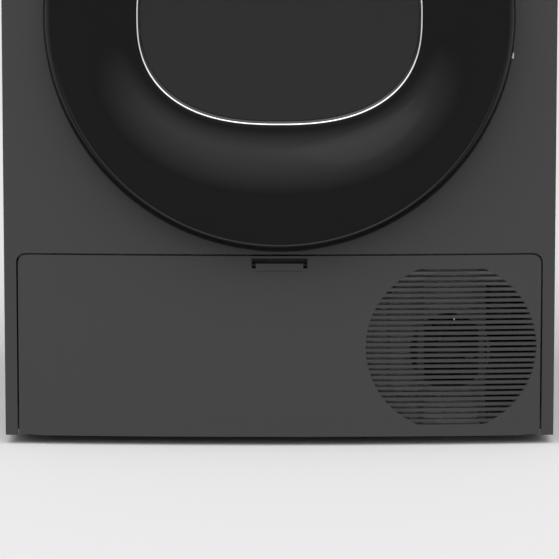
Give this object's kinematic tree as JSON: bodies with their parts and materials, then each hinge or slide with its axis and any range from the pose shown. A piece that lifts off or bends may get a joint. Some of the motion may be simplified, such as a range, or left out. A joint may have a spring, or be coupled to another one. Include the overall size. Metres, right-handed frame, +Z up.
{
  "type": "clothes dryer",
  "caption": "Free-standing front-loading clothes dryer: bowed graphite front, round dished door, louvred round air grille in a lower service flap, pull-out water tank.",
  "frame": {"origin": "middle of the footprint, on the floor that the feet stand on", "axes": "+Z up; the door faces -Y; +X to the right when looking at the front"},
  "size_m": [0.596, 0.649, 0.849],
  "materials": {
    "painted_graphite": "satin",
    "graphite_plastic": "satin",
    "gloss_black": "gloss",
    "chrome_trim": "mirror",
    "smoked_glass": "gloss",
    "galvanised": "satin",
    "drum_steel": "satin",
    "black_plastic": "matte",
    "grey_plastic": "matte",
    "white_plastic": "satin",
    "blue_plastic": "satin",
    "rubber": "matte",
    "felt": "matte",
    "bronze": "satin",
    "copper": "satin",
    "aluminium_fins": "satin",
    "circuit_board": "satin",
    "motor_paint": "satin",
    "satin_metal": "satin"
  },
  "bodies": {
    "cabinet": {"base_pan": "black_plastic", "left_side_panel": "painted_graphite", "right_side_panel": "painted_graphite", "rear_panel": "galvanised", "rear_duct_cover": "galvanised", "worktop": "graphite_plastic", "front_panel": "painted_graphite", "control_fascia": "graphite_plastic", "display_window": "gloss_black", "control_board": "circuit_board", "front_bulkhead": "grey_plastic", "rear_bulkhead": "galvanised", "drum_seals": "felt", "rear_bearing": "bronze", "drum_belt": "rubber", "drum_motor": "motor_paint", "fan_housing": "grey_plastic", "compressor": "motor_paint", "compressor_mounts": "rubber", "evaporator": "aluminium_fins", "condenser": "aluminium_fins", "refrigerant_pipes": "copper", "condensate_pump": "white_plastic", "pump_hose": "rubber", "tank_sleeve": "white_plastic", "cooling_fan_frame": "grey_plastic", "door_hinge_bracket": "painted_graphite", "mains_gland": "black_plastic", "panel_screws": "satin_metal", "heat_exchanger_cover": "grey_plastic"},
    "drum": {"drum_shell": "drum_steel", "drum_back": "drum_steel", "drum_lifters": "grey_plastic"},
    "motor_rotor": {"motor_pulley": "satin_metal", "process_fan": "black_plastic"},
    "tensioner_arm": {"tensioner_arm": "satin_metal"},
    "tensioner_roller": {"tensioner_roller": "black_plastic"},
    "cooling_fan": {"cooling_fan": "black_plastic"},
    "water_tank": {"water_tank": "white_plastic", "tank_front": "graphite_plastic"},
    "service_flap": {"service_flap": "graphite_plastic", "air_grille": "graphite_plastic"},
    "flap_lever": {"flap_release_lever": "graphite_plastic"},
    "door": {"door_ring": "gloss_black", "door_liner": "grey_plastic", "door_glass": "smoked_glass", "door_trim": "chrome_trim", "door_seal": "rubber", "door_hinge_leaf": "satin_metal", "door_latch": "satin_metal"},
    "lint_filter": {"lint_filter": "blue_plastic"},
    "program_knob": {"program_knob": "satin_metal"},
    "power_button": {"power_button": "satin_metal"},
    "start_button": {"start_button": "satin_metal"},
    "cover_latch_left": {"cover_latch_left": "blue_plastic"},
    "cover_latch_right": {"cover_latch_right": "blue_plastic"},
    "foot_front_left": {"foot_front_left": "rubber"},
    "foot_front_right": {"foot_front_right": "rubber"},
    "foot_rear_left": {"foot_rear_left": "rubber"},
    "foot_rear_right": {"foot_rear_right": "rubber"}
  },
  "joints": [
    {"name": "door_swing", "type": "hinge", "parent": "cabinet", "child": "door", "pos_m": [0.246, -0.3, 0.468], "axis": [0, 0, 1], "range_deg": [0, 130]},
    {"name": "drum_spin", "type": "hinge", "parent": "cabinet", "child": "drum", "pos_m": [0, 0, 0.45], "axis": [0, 1, 0], "continuous": true},
    {"name": "motor_spin", "type": "hinge", "parent": "cabinet", "child": "motor_rotor", "pos_m": [-0.17, 0.1, 0.085], "axis": [0, 1, 0], "continuous": true},
    {"name": "tensioner_swing", "type": "hinge", "parent": "cabinet", "child": "tensioner_arm", "pos_m": [-0.22626, 0.03, 0.034], "axis": [0, -1, 0], "range_deg": [0, 8], "stiffness_Nm_per_rad": 1, "springref_deg": -11.46},
    {"name": "tensioner_spin", "type": "hinge", "parent": "tensioner_arm", "child": "tensioner_roller", "pos_m": [-0.20826, 0.026, 0.12556], "axis": [0, 1, 0], "continuous": true},
    {"name": "cooling_fan_spin", "type": "hinge", "parent": "cabinet", "child": "cooling_fan", "pos_m": [0.184, -0.228, 0.1], "axis": [0, 1, 0], "continuous": true},
    {"name": "tank_pull", "type": "slide", "parent": "cabinet", "child": "water_tank", "axis": [0, -1, 0], "range_m": [0, 0.4]},
    {"name": "flap_swing", "type": "hinge", "parent": "cabinet", "child": "service_flap", "pos_m": [0, -0.27, 0.026], "axis": [1, 0, 0], "range_deg": [0, 75]},
    {"name": "lever_press", "type": "hinge", "parent": "service_flap", "child": "flap_lever", "pos_m": [0, -0.2805, 0.1977], "axis": [1, 0, 0], "range_deg": [0, 4], "stiffness_Nm_per_rad": 0.2, "springref_deg": -17.19},
    {"name": "filter_lift", "type": "slide", "parent": "cabinet", "child": "lint_filter", "axis": [0, 0, 1], "range_m": [0, 0.16]},
    {"name": "knob_turn", "type": "hinge", "parent": "cabinet", "child": "program_knob", "pos_m": [0, -0.295, 0.778], "axis": [0, 1, 0], "continuous": true},
    {"name": "power_press", "type": "slide", "parent": "cabinet", "child": "power_button", "axis": [0, 1, 0], "range_m": [0, 0.0012], "stiffness_N_per_m": 600, "springref_m": -0.001},
    {"name": "start_press", "type": "slide", "parent": "cabinet", "child": "start_button", "axis": [0, 1, 0], "range_m": [0, 0.0012], "stiffness_N_per_m": 600, "springref_m": -0.001},
    {"name": "cover_latch_left_turn", "type": "hinge", "parent": "cabinet", "child": "cover_latch_left", "pos_m": [-0.252, -0.24, 0.097], "axis": [0, 1, 0], "range_deg": [0, 90]},
    {"name": "cover_latch_right_turn", "type": "hinge", "parent": "cabinet", "child": "cover_latch_right", "pos_m": [0.042, -0.24, 0.097], "axis": [0, 1, 0], "range_deg": [-90, 0]},
    {"name": "foot_front_left_turn", "type": "hinge", "parent": "cabinet", "child": "foot_front_left", "pos_m": [-0.264, -0.205, 0.01], "axis": [0, 0, 1], "continuous": true},
    {"name": "foot_front_right_turn", "type": "hinge", "parent": "cabinet", "child": "foot_front_right", "pos_m": [0.264, -0.205, 0.01], "axis": [0, 0, 1], "continuous": true},
    {"name": "foot_rear_left_turn", "type": "hinge", "parent": "cabinet", "child": "foot_rear_left", "pos_m": [-0.264, 0.255, 0.01], "axis": [0, 0, 1], "continuous": true},
    {"name": "foot_rear_right_turn", "type": "hinge", "parent": "cabinet", "child": "foot_rear_right", "pos_m": [0.264, 0.255, 0.01], "axis": [0, 0, 1], "continuous": true}
  ],
  "couplings": [
    {"joint": "motor_spin", "follows": "drum_spin", "ratio": 27},
    {"joint": "tensioner_spin", "follows": "drum_spin", "ratio": -19.286}
  ]
}
